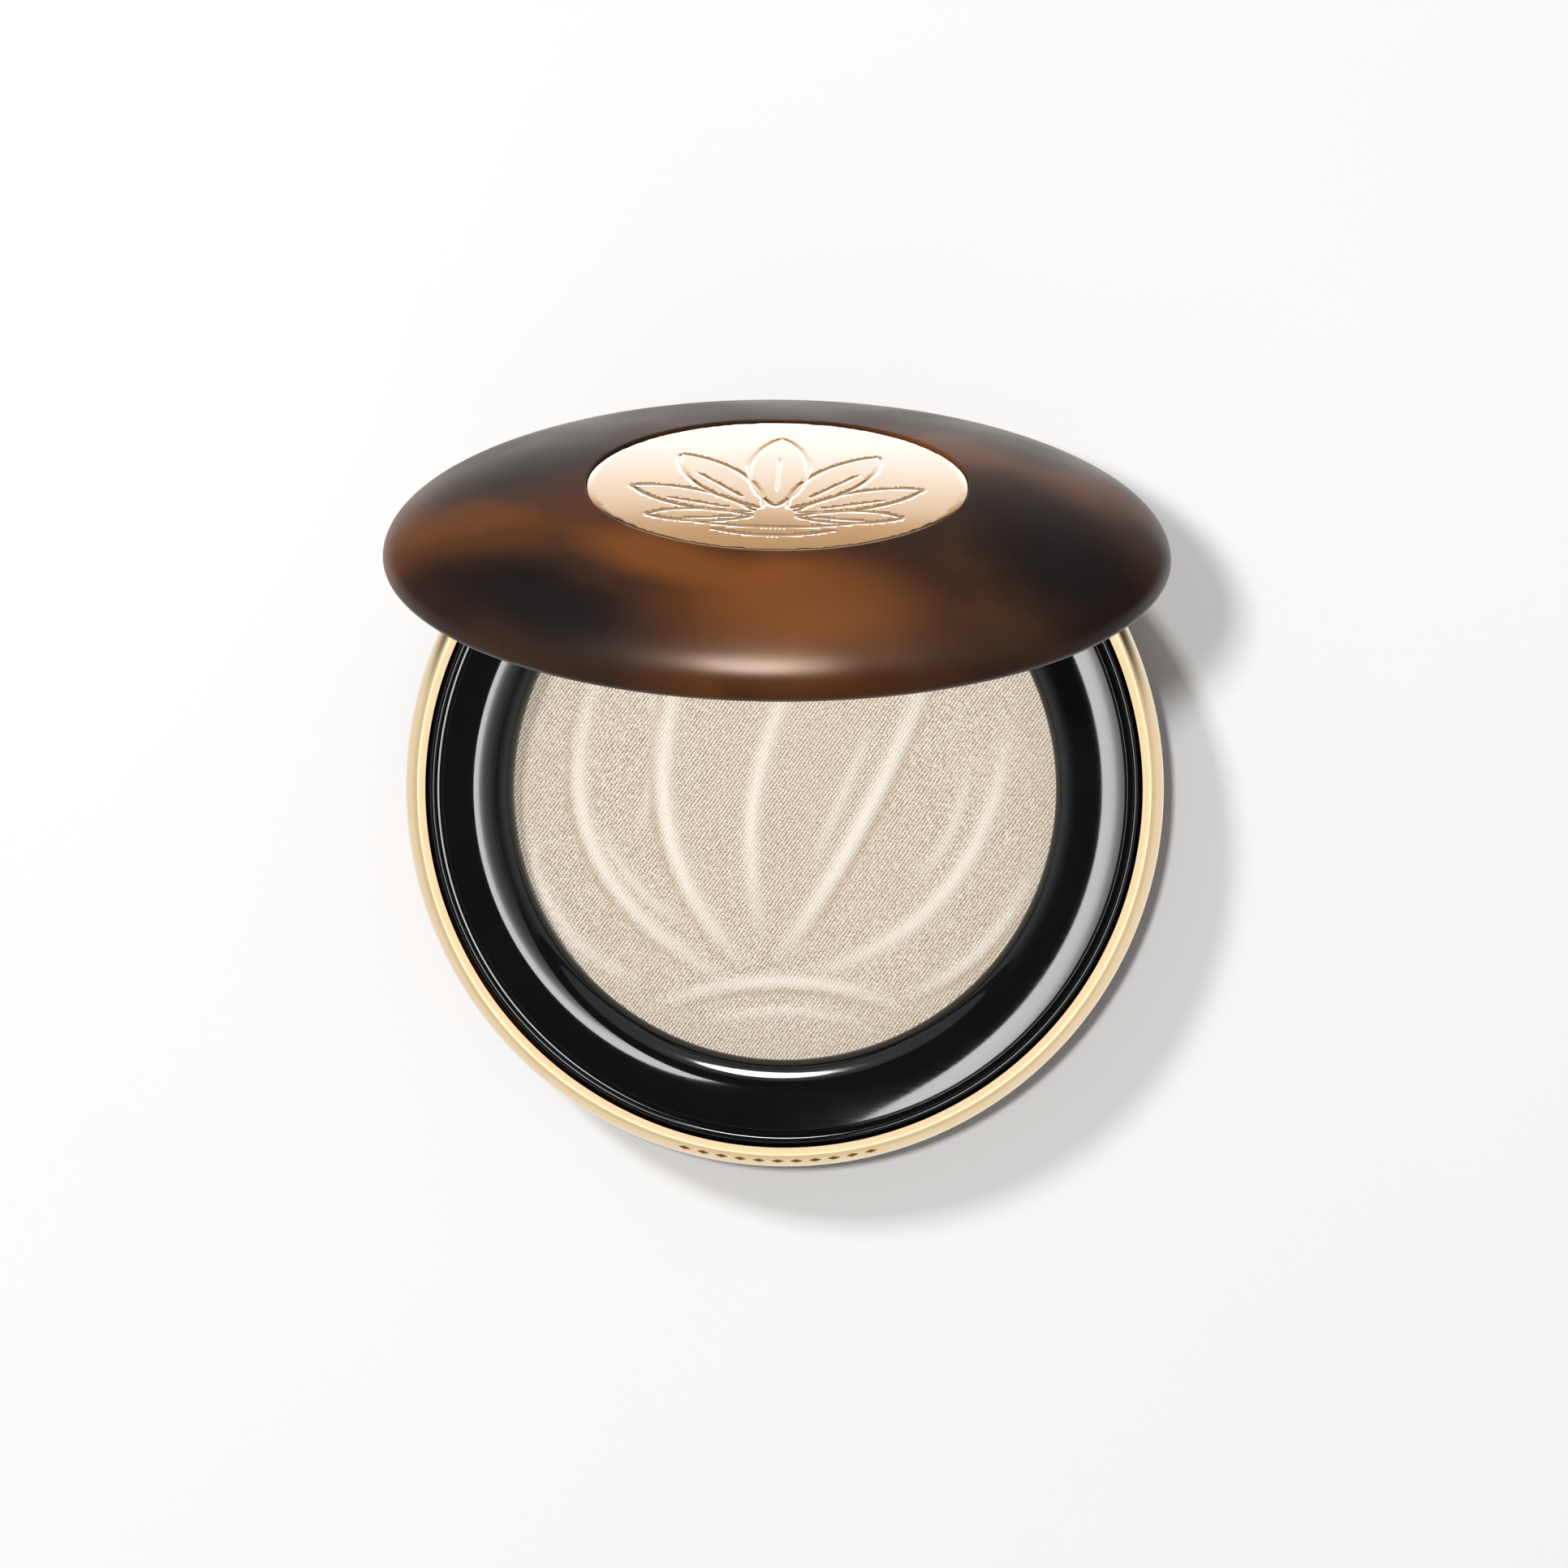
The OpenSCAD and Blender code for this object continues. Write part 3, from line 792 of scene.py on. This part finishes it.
def lid_shell():
    """The dome: elliptical outside and inside, a rounded rim and the medallion's recess."""
    recess_r = MEDALLION_R + 0.05 * MM
    recess_z = MEDALLION_EDGE - MEDALLION_T - 0.1 * MM
    ceiling = recess_z - 1.25 * MM
    inner_a, inner_b, inner_z = BODY_R - 2 * MM, DOME - 1.85 * MM, -0.4 * MM
    inner_r = BODY_R - 2.4 * MM
    edge = 0.14 * MM
    dome_start = math.degrees(math.asin(recess_r / BODY_R))
    inside_start = math.degrees(math.asin(inner_r / inner_a))
    inside_end = math.degrees(math.acos((ceiling - inner_z) / inner_b))
    rim_r = BODY_R - 1.7 * MM
    section = [(0, ceiling), (0, recess_z), (recess_r, recess_z)]
    section += arc(0, 0, BODY_R, DOME, dome_start, 90, 90)
    section += arc(rim_r, 0, BODY_R - rim_r, LIP_DROP, 93, 180, 20)
    section += [(inner_r, -LIP_DROP + 0.2 * MM)]
    section += arc(0, inner_z, inner_a, inner_b, inside_start, inside_end, 30)
    section = soften(section + [(0, ceiling)], edge)[1:]
    piece = lathe("lid_shell_moulding", section, 2 * TURN)
    combine(piece, lid_cutter((-NOTCH_X, NOTCH_Y, 0), (NOTCH_X, FAR, LID_NOTCH_TOP)), "DIFFERENCE")
    return place(piece, "lid", "lid_shell", slot="tortoiseshell", look=lid_tortoise, at=lid_to_world)


# The ornament, in millimetres
ROOT = np.array([0.0, -9.0])  # where all its leaves point from
LEAVES = [(0, 22.5, 4.4), (34, 20, 4.0), (66, 16.5, 3.4), (97, 12.5, 2.6)]  # degrees, length, width
LEAF_START = 2.2
LEAF_LEAN = 1.6
LEAF_LINE, RIB_LINE, BOW_LINE = 0.23, 0.16, 0.21  # half widths
BOWS = [(-12.2, 8.5), (-14.4, 6.0)]  # depth, half length
BOW_RISE, BOW_SAG = 1.6, 1.9


def leaf(turn, length, width, lean):
    """Two curved sides of one leaf of the ornament, from its root to its tip."""
    out = np.array([math.sin(turn), math.cos(turn)])
    across = np.array([out[1], -out[0]])
    start = ROOT + out * LEAF_START
    tip = ROOT + out * length + across * lean
    sides = []
    for side in (-1, 1):
        t = np.linspace(0, 1, 61)[:, None]
        belly = start + (tip - start) * 0.35 + across * side * width
        neck = start + (tip - start) * 0.80 + across * side * width * 0.75
        first_half = start * (1 - t) ** 3 + 3 * belly * t * (1 - t) ** 2
        sides.append(first_half + 3 * neck * t**2 * (1 - t) + tip * t**3)
    return sides


def ornament():
    """A plain palmette: a fan of leaves over two bows, as polylines with their half widths."""
    strokes = []
    for turn, length, width in LEAVES:
        for side in ((1,) if turn == 0 else (-1, 1)):
            angle = math.radians(turn * side)
            lean = -LEAF_LEAN * side if turn else 0
            strokes += [(line, LEAF_LINE) for line in leaf(angle, length, width, lean)]
            out = np.array([math.sin(angle), math.cos(angle)])
            rib = [ROOT + out * length * s for s in np.linspace(0.30, 0.72, 20)]
            strokes.append((np.array(rib), RIB_LINE))
    for depth, reach in BOWS:
        left, right = (-reach, depth + BOW_RISE), (reach, depth + BOW_RISE)
        strokes.append((curve_points(left, (0, depth - BOW_SAG), right, 50), BOW_LINE))
    return strokes


GROOVE_RAILS = (-1.15, -0.8, -0.4, 0, 0.4, 0.8, 1.15)  # mesh lines along a groove, in half widths
FIELD_PITCH = 0.45  # spacing of the free points of the medallion's face, in millimetres
FIELD_SPAN = 18
FIELD_R = 18.2
GROOVE_SMOOTH = 50  # degrees; the walls of the grooves are smooth


def medallion():
    """The metal disc, with the ornament cut in as real grooves."""
    bevel, crown, depth, turn = 0.14 * MM, 0.25 * MM, 0.10 * MM, TURN
    edge_r = MEDALLION_R - bevel
    strokes = ornament()
    points, edges = [], []

    def add_line(line, loop=False):
        """Adds a polyline that the triangles must follow."""
        first = len(points)
        points.extend(Vector((float(x), float(y))) for x, y in line)
        last = len(points) - 1
        edges.extend((i, i + 1) for i in range(first, last))
        if loop:
            edges.append((last, first))

    angles = np.arange(turn) * 2 * math.pi / turn
    rim = np.stack([np.cos(angles), np.sin(angles)], 1) * edge_r / MM
    add_line(rim, loop=True)
    for line, width in strokes:
        way = np.gradient(line, axis=0)
        way /= np.linalg.norm(way, axis=1, keepdims=True)
        across = np.stack([-way[:, 1], way[:, 0]], 1)
        for offset in GROOVE_RAILS:
            add_line(line + across * offset * width)
    spread = np.arange(-FIELD_SPAN, FIELD_SPAN + 0.1, FIELD_PITCH)
    grid = np.array([(x + 0.22 * (i % 2), y) for i, y in enumerate(spread) for x in spread])
    points.extend(Vector(map(float, p)) for p in grid if np.hypot(*p) < FIELD_R)
    result = delaunay_2d_cdt(points, edges, [], 1, 1e-5)
    flat = np.array([tuple(p) for p in result[0]])
    groove = np.zeros(len(flat))
    for line, width in strokes:
        gap, along, _ = away_from(flat, line)
        form = np.clip(1.12 - (gap / width) ** 2, 0, 1) ** 0.8  # a flat floor between rounded sides
        ends = np.clip(np.minimum(along, 1 - along) / 0.03, 0.0, 1)
        groove = np.maximum(groove, form * (width / LEAF_LINE) * ends)
    distance = np.hypot(flat[:, 0], flat[:, 1]) * MM / edge_r
    z = MEDALLION_EDGE + crown * (1 - distance**2) - depth * groove
    mesh = bmesh.new()
    verts = [mesh.verts.new((x * MM, y * MM, h)) for (x, y), h in zip(flat, z)]
    for face in result[2]:
        mesh.faces.new([verts[i] for i in face])
    low = MEDALLION_EDGE - MEDALLION_T
    levels = [(edge_r, MEDALLION_EDGE), (MEDALLION_R - 0.04 * MM, MEDALLION_EDGE - 0.05 * MM)]
    levels += [(MEDALLION_R, MEDALLION_EDGE - bevel), (MEDALLION_R, low)]
    rings = [ring_of(mesh, r, h, turn) for r, h in levels]
    for upper, lower in zip(rings, rings[1:]):
        for i in range(turn):
            mesh.faces.new([upper[i], upper[(i + 1) % turn], lower[(i + 1) % turn], lower[i]])
    mesh.faces.new(rings[-1])
    bmesh.ops.remove_doubles(mesh, verts=mesh.verts, dist=0.002 * MM)
    piece = finish_mesh("medallion_disc", mesh)
    shade(piece, GROOVE_SMOOTH)
    return place(piece, "lid", "medallion", slot="medallion_metal", look=champagne, at=lid_to_world)


def lid_frame():
    """The black inner frame of the lid: mirror seat, ring and middle knuckle."""
    bottom = CREST + 0.3 * MM - LID_PLANE
    seat_r = MIRROR_R + 0.05 * MM
    seat_z = MIRROR_Z + MIRROR_T + 0.1 * MM
    top = seat_z + 0.8 * MM
    outer = BODY_R - 2.6 * MM
    chamfer, edge, pin_hole = 0.4 * MM, 0.15 * MM, 0.96 * MM
    section = [(0, seat_z), (seat_r, seat_z), (seat_r, bottom + chamfer), (seat_r + chamfer, bottom)]
    section += [(outer - chamfer, bottom), (outer, bottom + chamfer), (outer, bottom + 1.2 * MM)]
    section += [(outer - 2.6 * MM, top), (0, top)]
    piece = lathe("lid_frame_moulding", soften(section, edge))
    for side in (-1, 1):
        x0, x1 = sorted((side * KNUCKLE_X, side * NOTCH_X))
        combine(piece, lid_cutter((x0, NOTCH_Y, 0), (x1, FAR, FAR)), "DIFFERENCE")
    centre = HINGE - Vector((0, 0, LID_PLANE))
    combine(piece, axle(KNUCKLE_R, -KNUCKLE_X, KNUCKLE_X, centre, KNUCKLE_EDGE), "UNION")
    web_x = KNUCKLE_X - WEB_INSET
    web_low = (-web_x, NOTCH_Y - MM, bottom + chamfer)
    web_high = (web_x, HINGE.y, centre.z + KNUCKLE_R - SKIN)
    combine(piece, block(web_low, web_high), "UNION")
    combine(piece, axle(pin_hole, -FAR, FAR, centre), "DIFFERENCE")
    return place(piece, "lid", "lid_frame", slot="black_gloss", look=black, at=lid_to_world)


def mirror():
    """The mirror's glass, with a bevelled edge on the side that is seen."""
    bevel = 0.3 * MM
    high = MIRROR_Z + MIRROR_T
    section = [(0, MIRROR_Z), (MIRROR_R - bevel, MIRROR_Z), (MIRROR_R, MIRROR_Z + bevel)]
    section += [(MIRROR_R, high), (0, high)]
    piece = lathe("mirror_glass_disc", soften(section, 0.06 * MM))
    return place(piece, "lid", "mirror", slot="mirror_glass", look=mirror_look, at=lid_to_world)


base_shell()
base_label()
base_frame()
gold_band()
powder_cake()
hinge_pin()
lid_shell()
medallion()
lid_frame()
mirror()

carried_over = {
    "ballast_plate": steel,
    "pan_tape": tape,
    "powder_pan": aluminium,
    "base_magnets": nickel,
    "medallion_tape": tape,
    "mirror_tape": tape,
    "lid_magnets": nickel,
    "hinge_sleeves": acetal,
}
for node_name, finish in carried_over.items():
    node = frame["nodes"][node_name]
    node.data.materials.clear()
    node.data.materials.append(finish)


# ---------------------------------------------------------------- stage, lights, camera


def floor():
    """A wide pale sheet with a slight mottle."""
    mesh = bmesh.new()
    size = 4.0
    corners = [(-size, -size), (size, -size), (size, size), (-size, size)]
    mesh.faces.new([mesh.verts.new((x, y, 0)) for x, y in corners])
    sheet = finish_mesh("floor", mesh)
    look = Look("pale_floor", Specular_IOR_Level=0.1)
    look.set("Base Color", look.mix(look.noise(60 * MM), (0.86, 0.86, 0.86), (0.88, 0.88, 0.88)))
    look.set("Roughness", look.span(look.noise(20 * MM), 0.3, 0.7, 0.8, 0.95))
    sheet.data.materials.append(look.material)
    sheet.visible_glossy = False


def area_light(name, spot, aim, width, height, brightness, diffuse=False, shape="RECTANGLE"):
    """A flat light: it either shades surfaces, or it is seen only in glossy reflections."""
    data = bpy.data.lights.new(name, "AREA")
    data.shape = shape
    data.size, data.size_y = width, height
    data.energy = brightness * math.pi * width * height
    light = bpy.data.objects.new(name, data)
    bpy.context.scene.collection.objects.link(light)
    toward = (Vector(aim) - Vector(spot)).normalized()
    side = (Vector((1, 0, 0)) - toward * toward.x).normalized()
    axes = Matrix((side, side.cross(toward), -toward)).transposed()
    light.matrix_world = Matrix.Translation(spot) @ axes.to_4x4()
    light.visible_camera = False
    light.visible_diffuse = diffuse
    light.visible_glossy = not diffuse
    return light


def key_light(name, spot, size, brightness):
    """A square light that shades surfaces and isn't seen in reflections."""
    return area_light(name, spot, MIDDLE, size, size, brightness, diffuse=True)


def collection_of(name, *pieces):
    """A collection for light linking."""
    group = bpy.data.collections.new(name)
    for piece in pieces:
        group.objects.link(bpy.data.objects[piece])
    return group


def shine_on(light, *pieces):
    """Lets a light reach only the given pieces."""
    light.light_linking.receiver_collection = collection_of(light.name + "_receivers", *pieces)


def keep_off(light, piece):
    """Lets a light reach everything but one piece."""
    shine_on(light, piece)
    light.light_linking.receiver_collection.collection_objects[0].light_linking.link_state = "EXCLUDE"


def blocked_by(light, *pieces):
    """Lets only the given pieces cast a light's shadow."""
    light.light_linking.blocker_collection = collection_of(light.name + "_blockers", *pieces)


def along_card(light, axis):
    """The light's node tree, and the place along one of its sides, from 0 to 1."""
    light.data.use_nodes = True
    tree = light.data.node_tree
    across = tree.nodes.new("ShaderNodeNewGeometry").outputs["Parametric"]
    split = tree.nodes.new("ShaderNodeSeparateXYZ")
    tree.links.new(across, split.inputs[0])
    return tree, split.outputs[axis]


def fade_along(light, axis, stops):
    """Brightness along one side of a card: (place from 0 to 1, share of full brightness) stops."""
    tree, along = along_card(light, axis)
    curve = tree.nodes.new("ShaderNodeFloatCurve")
    tree.links.new(along, curve.inputs["Value"])
    points = curve.mapping.curves[0].points
    points[0].location, points[1].location = stops[0], stops[-1]
    for where, share in stops[1:-1]:
        points.new(where, share)
    curve.mapping.update()
    tree.links.new(curve.outputs[0], tree.nodes["Emission"].inputs["Strength"])


def tint_along(light, axis, stops):
    """Colour along one side of a card: (place from 0 to 1, colour) stops."""
    tree, along = along_card(light, axis)
    ramp = tree.nodes.new("ShaderNodeValToRGB")
    tree.links.new(along, ramp.inputs["Fac"])
    elements = ramp.color_ramp.elements
    elements.remove(elements[1])
    elements[0].position, elements[0].color = stops[0][0], (*stops[0][1], 1)
    for where, colour in stops[1:]:
        elements.new(where).color = (*colour, 1)
    tree.links.new(ramp.outputs["Color"], tree.nodes["Emission"].inputs["Color"])


# Brightness of each light
LOW_KEY = 75.0
HIGH_KEY = 264.0
RIGHT_CARD = 15.5
SPARK = 36.0
LIP_CARD = 190.0
MEDALLION_CARD = 2.5
GROOVE_CARD = 0.35
GOLD_CARD = 1.05

MIDDLE = (0, 0, 0)
LOW_KEY_SPOT, LOW_KEY_SIZE = (-0.90, 0.80, 1.0), 0.24
HIGH_KEY_SPOT, HIGH_KEY_SIZE = (-0.20, 0.17, 1.5), 0.12
SLOPE_POINT = Vector((-0.0008, -0.0294, 0.0083))  # the front of the black slope
SPARK_WAY = Vector((0, 0.0457, 0.0389))  # from there to the small light it reflects
GROOVE_TINT = (1.0, 0.78, 0.52)

# Share of full brightness across the card on the right, from its left side
RIGHT_FADE = [(0, 0.95), (0.11, 0.85), (0.22, 0.30), (0.35, 0.12), (0.6, 0.05), (1, 0.02)]

# Colour across the card that the medallion reflects: warm at its far end, slightly cool near the hinge
MEDALLION_TINTS = [
    (0.09, (0.212, 0.146, 0.076)),
    (0.185, (0.228, 0.164, 0.102)),
    (0.255, (0.318, 0.283, 0.236)),
    (0.395, (0.369, 0.365, 0.361)),
    (0.535, (0.410, 0.440, 0.510)),
    (0.72, (0.400, 0.430, 0.540)),
]


def key_lights():
    """Two key lights shade everything, and the powder has a copy of the high one."""
    base = ["base_shell_moulding", "gold_band_ring", "base_frame_moulding", "pressed_powder_cake"]
    low_key = key_light("low_key", LOW_KEY_SPOT, LOW_KEY_SIZE, LOW_KEY)
    blocked_by(low_key, *base)
    high_key = key_light("high_key", HIGH_KEY_SPOT, HIGH_KEY_SIZE, HIGH_KEY)
    keep_off(high_key, "pressed_powder_cake")
    powder_key = key_light("powder_key", HIGH_KEY_SPOT, HIGH_KEY_SIZE, HIGH_KEY)
    shine_on(powder_key, "pressed_powder_cake")
    blocked_by(powder_key, *base)


def cards():
    """Soft cards, each seen only in the reflections of its own glossy pieces."""
    right = area_light("right_card", (0.98, -0.125, 2.0), (0.98, -0.125, 0), 1.77, 1.55, RIGHT_CARD)
    fade_along(right, "X", RIGHT_FADE)
    shine_on(right, "base_frame_moulding", "lid_frame_moulding")

    spark_spot = SLOPE_POINT + SPARK_WAY
    spark = area_light("slope_spark", spark_spot, SLOPE_POINT, 0.009, 0.016, SPARK, shape="ELLIPSE")
    shine_on(spark, "base_frame_moulding")

    lip = area_light("lip_card", (-0.05, 0.95, 0.50), (-0.003, 0.015, 0.08), 0.17, 0.36, LIP_CARD)
    shine_on(lip, "lid_shell_moulding")

    low = area_light("medallion_card", (0, 0.063, 0.002), (0, 0.063, 1), 0.16, 0.044, MEDALLION_CARD)
    tint_along(low, "Y", MEDALLION_TINTS)
    shine_on(low, "medallion_disc")

    groove = area_light("groove_card", (0, 0.45, 0.0), (0, 0.045, 0.04), 0.8, 0.5, GROOVE_CARD)
    groove.data.color = GROOVE_TINT
    shine_on(groove, "medallion_disc")

    roof = area_light("gold_card", (0, 0, 1.2), MIDDLE, 5.0, 5.0, GOLD_CARD)
    shine_on(roof, "gold_band_ring", "medallion_disc")


def world():
    """Soft studio surround: dark overhead, pale at the horizon, with a dark gap low behind."""
    surround = bpy.data.worlds.new("studio")
    bpy.context.scene.world = surround
    surround.use_nodes = True
    tree = surround.node_tree
    where = tree.nodes.new("ShaderNodeTexCoord")
    split = tree.nodes.new("ShaderNodeSeparateXYZ")
    tree.links.new(where.outputs["Generated"], split.inputs[0])

    def ramp(source, low, high, to_low, to_high):
        """A smooth change between two places. What it changes to may be another ramp."""
        made = tree.nodes.new("ShaderNodeMapRange")
        made.interpolation_type = "SMOOTHSTEP"
        tree.links.new(source, made.inputs["Value"])
        ends = {"From Min": low, "From Max": high, "To Min": to_low, "To Max": to_high}
        for socket, value in ends.items():
            if isinstance(value, bpy.types.NodeSocket):
                tree.links.new(value, made.inputs[socket])
            else:
                made.inputs[socket].default_value = value
        return made.outputs["Result"]

    up, back = split.outputs["Z"], split.outputs["Y"]
    sky = ramp(up, 0.25, 0.85, 0.75, 0.03)
    front = ramp(up, -0.3, 0.0, 0.9, sky)
    gap = ramp(up, -0.90, -0.76, 0.95, 0.05)
    behind = ramp(up, -0.05, 0.3, gap, sky)
    background = tree.nodes["Background"]
    tree.links.new(ramp(back, 0.15, 0.40, front, behind), background.inputs["Strength"])
    background.inputs["Color"].default_value = (1.0, 1.0, 1.0, 1.0)


def camera():
    """Almost straight down, from a metre away, with the frame 161 mm wide at the band's level."""
    distance = 1.041
    view_width = 0.16135
    tilts = zip("XYZ", (2.65, -1.74, -0.96))  # degrees
    about_x, about_y, about_z = [Matrix.Rotation(math.radians(a), 3, axis) for axis, a in tilts]
    turn = (about_x @ about_y @ about_z).transposed()
    data = bpy.data.cameras.new("camera")
    data.sensor_width = 36
    data.lens = data.sensor_width * distance / view_width
    data.dof.use_dof = False
    data.clip_start, data.clip_end = 0.05, 20
    eye = bpy.data.objects.new("camera", data)
    bpy.context.scene.collection.objects.link(eye)
    aim = Vector((-0.06 * MM, 0.44 * MM, distance))
    eye.matrix_world = Matrix.Translation(turn @ aim + Vector((0, 0, BAND_MID))) @ turn.to_4x4()
    bpy.context.scene.camera = eye


floor()
key_lights()
cards()
world()
camera()
bpy.context.scene.view_settings.view_transform = "Standard"
